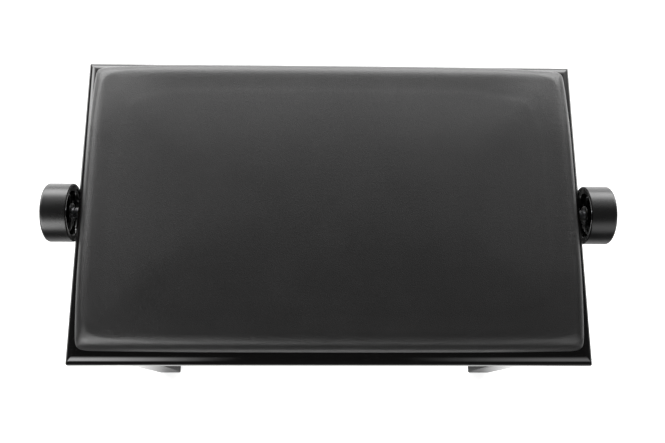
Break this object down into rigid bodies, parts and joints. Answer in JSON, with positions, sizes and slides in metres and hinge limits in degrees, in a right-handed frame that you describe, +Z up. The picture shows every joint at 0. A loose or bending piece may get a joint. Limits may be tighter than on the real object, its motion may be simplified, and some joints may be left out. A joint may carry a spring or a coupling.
{
  "type": "height-adjustable keyboard bench",
  "caption": "Padded wooden bench whose seat rises level on a scissor lift driven by a threaded spindle with a round knob at each short side.",
  "frame": {"origin": "on the floor, under the middle of the bench", "axes": "+X along the bench and the spindle, towards the right knob; +Y towards the back; +Z up"},
  "size_m": [0.645, 0.348, 0.486],
  "materials": {
    "lacquer": "high-gloss black lacquer",
    "leatherette": "smooth matt leatherette with a fine grain",
    "plywood": "raw plywood",
    "beech": "raw planed beech",
    "felt": "pressed felt",
    "black_steel": "satin black powder coat",
    "zinc": "bright zinc plate",
    "bronze": "machined bronze",
    "nylon": "natural nylon",
    "knob_plastic": "satin side and glossy dish, black"
  },
  "bodies": {
    "base": {"apron_front": "lacquer", "apron_back": "lacquer", "apron_left": "lacquer", "apron_right": "lacquer", "leg_front_left": "lacquer", "leg_front_right": "lacquer", "leg_back_left": "lacquer", "leg_back_right": "lacquer", "glide_front_left": "felt", "glide_front_right": "felt", "glide_back_left": "felt", "glide_back_right": "felt", "corner_bracket_front_left": "zinc", "corner_bracket_front_right": "zinc", "corner_bracket_back_left": "zinc", "corner_bracket_back_right": "zinc", "leg_bolt_front_left": "zinc", "leg_bolt_front_right": "zinc", "leg_bolt_back_left": "zinc", "leg_bolt_back_right": "zinc", "rail_cleat_front": "beech", "rail_cleat_back": "beech", "lower_rail_front": "black_steel", "lower_rail_back": "black_steel", "spindle_bush_left": "bronze", "spindle_bush_right": "bronze"},
    "rising_arms": {"rising_arm_front": "black_steel", "rising_arm_back": "black_steel", "lower_pivot_shaft": "zinc", "centre_pin_front": "zinc", "centre_pin_back": "zinc", "slot_pin_front": "zinc", "slot_pin_back": "zinc", "slot_roller_front": "nylon", "slot_roller_back": "nylon"},
    "falling_arms": {"falling_arm_front": "black_steel", "falling_arm_back": "black_steel"},
    "seat": {"upper_rail_front": "black_steel", "upper_rail_back": "black_steel", "seat_pin_front": "zinc", "seat_pin_back": "zinc", "seat_board": "lacquer", "cushion_panel": "plywood", "cushion": "leatherette"},
    "nut_carriage": {"cross_bar": "zinc", "nut_bracket": "black_steel", "spindle_nut": "bronze", "guide_block_front": "nylon", "guide_block_back": "nylon"},
    "spindle": {"spindle": "zinc", "thrust_collar_left": "zinc", "thrust_collar_right": "zinc", "knob_left": "knob_plastic", "knob_right": "knob_plastic"}
  },
  "joints": [
    {"name": "lift", "type": "hinge", "parent": "base", "child": "rising_arms", "pos_m": [-0.168, 0, 0.366], "axis": [0, -1, 0], "range_deg": [0, 17.7]},
    {"name": "scissor", "type": "hinge", "parent": "rising_arms", "child": "falling_arms", "pos_m": [0, 0, 0.391], "axis": [0, -1, 0], "range_deg": [-35.4, 0]},
    {"name": "seat_pivot", "type": "hinge", "parent": "falling_arms", "child": "seat", "pos_m": [-0.168, 0, 0.416], "axis": [0, -1, 0], "range_deg": [0, 17.7]},
    {"name": "carriage_pivot", "type": "hinge", "parent": "falling_arms", "child": "nut_carriage", "pos_m": [0.168, 0, 0.366], "axis": [0, -1, 0], "range_deg": [0, 17.7]},
    {"name": "spindle_turn", "type": "hinge", "parent": "base", "child": "spindle", "pos_m": [0, 0, 0.412], "axis": [1, 0, 0], "range_deg": [0, 3734.8]}
  ],
  "couplings": [
    {"joint": "scissor", "follows": "lift", "ratio": -2},
    {"joint": "seat_pivot", "follows": "lift", "ratio": 1},
    {"joint": "carriage_pivot", "follows": "lift", "ratio": 1},
    {"joint": "spindle_turn", "follows": "lift", "ratio": 211}
  ]
}
